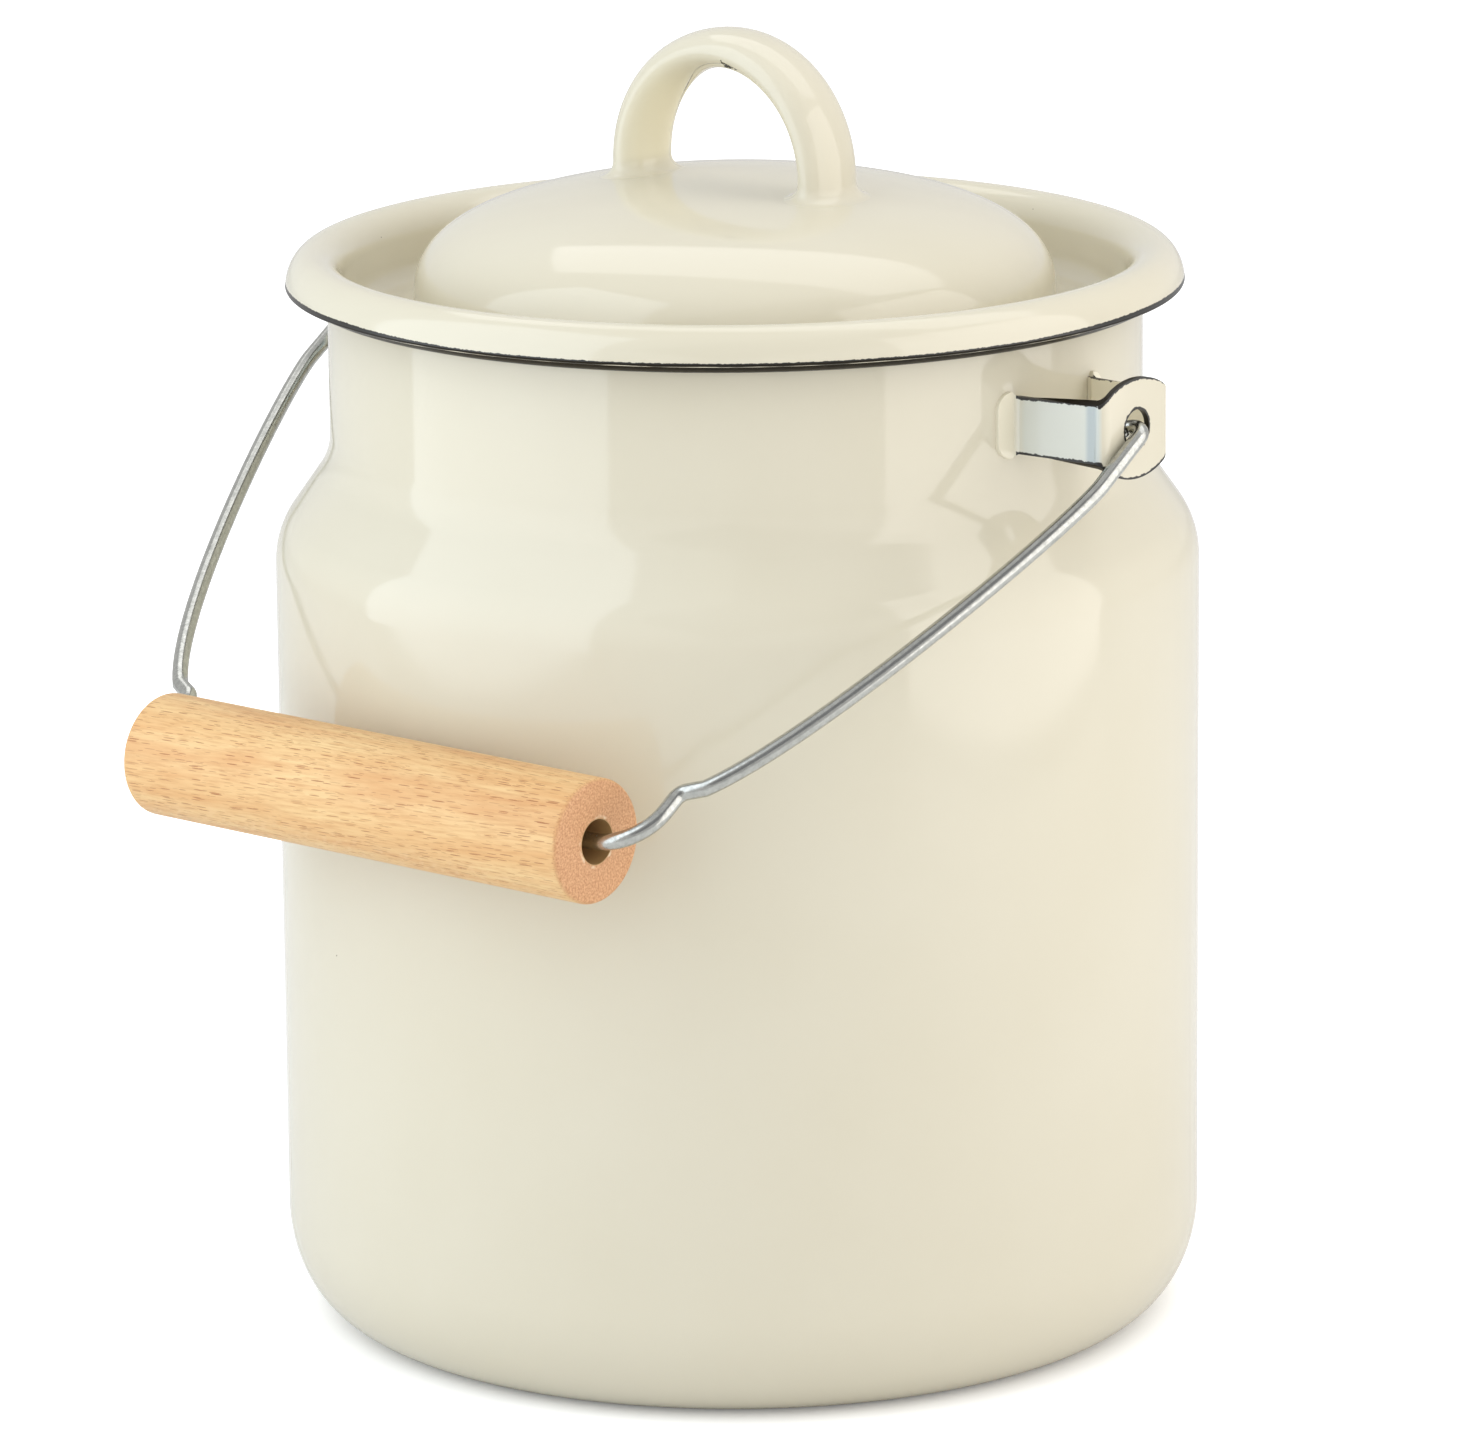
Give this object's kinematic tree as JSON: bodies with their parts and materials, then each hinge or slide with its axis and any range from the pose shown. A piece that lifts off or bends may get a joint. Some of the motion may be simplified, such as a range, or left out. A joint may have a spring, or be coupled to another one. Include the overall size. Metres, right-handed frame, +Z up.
{
  "type": "milk can",
  "caption": "Enamelled steel milk can with a shouldered body, a loose domed lid with an arched handle, and a wire bail with a wooden grip.",
  "frame": {"origin": "centre of the can's flat base, on the surface that it stands on", "axes": "+Z up along the can's axis, +X through the ears that carry the bail, -Y towards the side where the bail hangs at rest"},
  "size_m": [0.1818, 0.1813, 0.2256],
  "materials": {
    "cream_enamel": "glossy vitreous enamel",
    "zinc_wire": "zinc-plated drawn wire",
    "beech": "turned and sanded, unvarnished"
  },
  "bodies": {
    "can": {"can_body": "cream_enamel", "bail_ear_right": "cream_enamel", "bail_ear_left": "cream_enamel"},
    "lid": {"lid_shell": "cream_enamel", "lid_handle": "cream_enamel"},
    "bail": {"bail_wire": "zinc_wire"},
    "grip": {"wooden_grip": "beech"}
  },
  "joints": [
    {"name": "lid_lift", "type": "slide", "parent": "can", "child": "lid", "axis": [0, 0, 1], "range_m": [0, 0.07]},
    {"name": "bail_swing", "type": "hinge", "parent": "can", "child": "bail", "pos_m": [0, 0, 0.16688], "axis": [-1, 0, 0], "range_deg": [0, 246.29]},
    {"name": "grip_spin", "type": "hinge", "parent": "bail", "child": "grip", "pos_m": [0, -0.0908, 0.10758], "axis": [1, 0, 0], "continuous": true}
  ]
}
